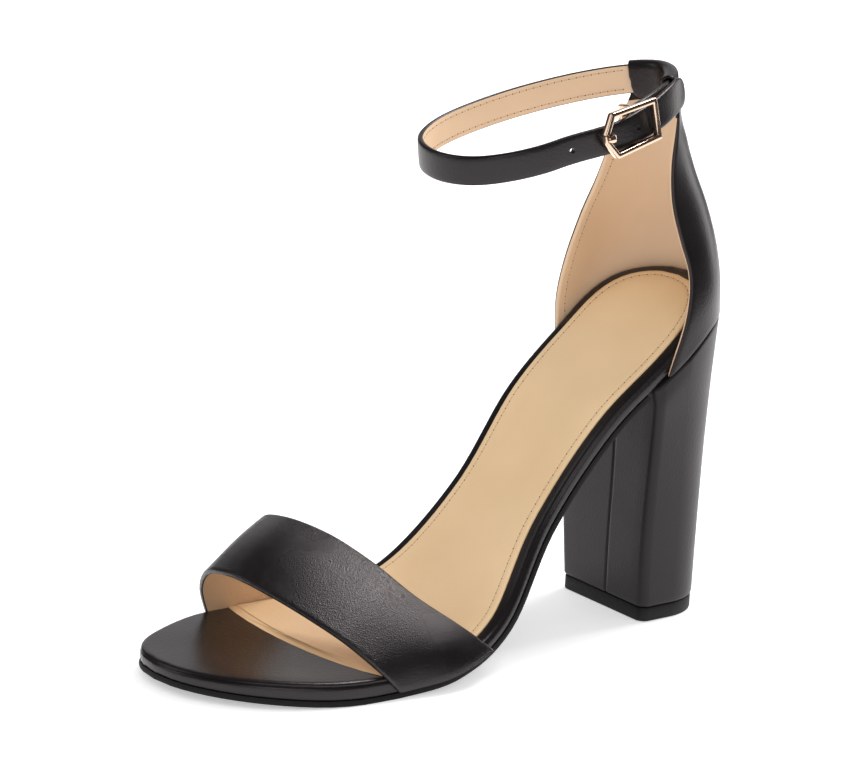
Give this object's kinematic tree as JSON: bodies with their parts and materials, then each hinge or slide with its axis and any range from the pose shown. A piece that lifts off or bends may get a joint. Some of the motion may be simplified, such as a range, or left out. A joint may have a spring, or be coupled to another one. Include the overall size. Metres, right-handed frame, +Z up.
{
  "type": "block heel sandal",
  "caption": "Open-toe dress sandal with a wide toe strap, closed heel counter, buckled ankle strap and a high covered block heel; left shoe.",
  "frame": {"origin": "middle of the top lift's underside, on the floor", "axes": "+X from the heel towards the toe, +Y towards the outer side of the foot, +Z up; the shoe stands on its own heel and forefoot"},
  "size_m": [0.1965, 0.0793, 0.1743],
  "materials": {
    "sole_rubber": "matt",
    "heel_leather": "smooth, soft sheen",
    "lift_rubber": "matt",
    "toe_strap_leather": "smooth, soft sheen",
    "counter_leather": "smooth, soft sheen",
    "board_leather": "smooth, soft sheen",
    "sock_leather": "smooth, matt",
    "ankle_strap_leather": "smooth, soft sheen",
    "frame_metal": "polished, pale rose gold",
    "prong_metal": "polished, pale rose gold"
  },
  "bodies": {
    "root": {"outsole": "sole_rubber", "heel": "heel_leather", "top_lift": "lift_rubber", "toe_strap": "toe_strap_leather", "heel_counter": "counter_leather", "board": "board_leather", "sock": "sock_leather", "ankle_strap": "ankle_strap_leather", "buckle_frame": "frame_metal", "buckle_prong": "prong_metal"}
  },
  "joints": []
}
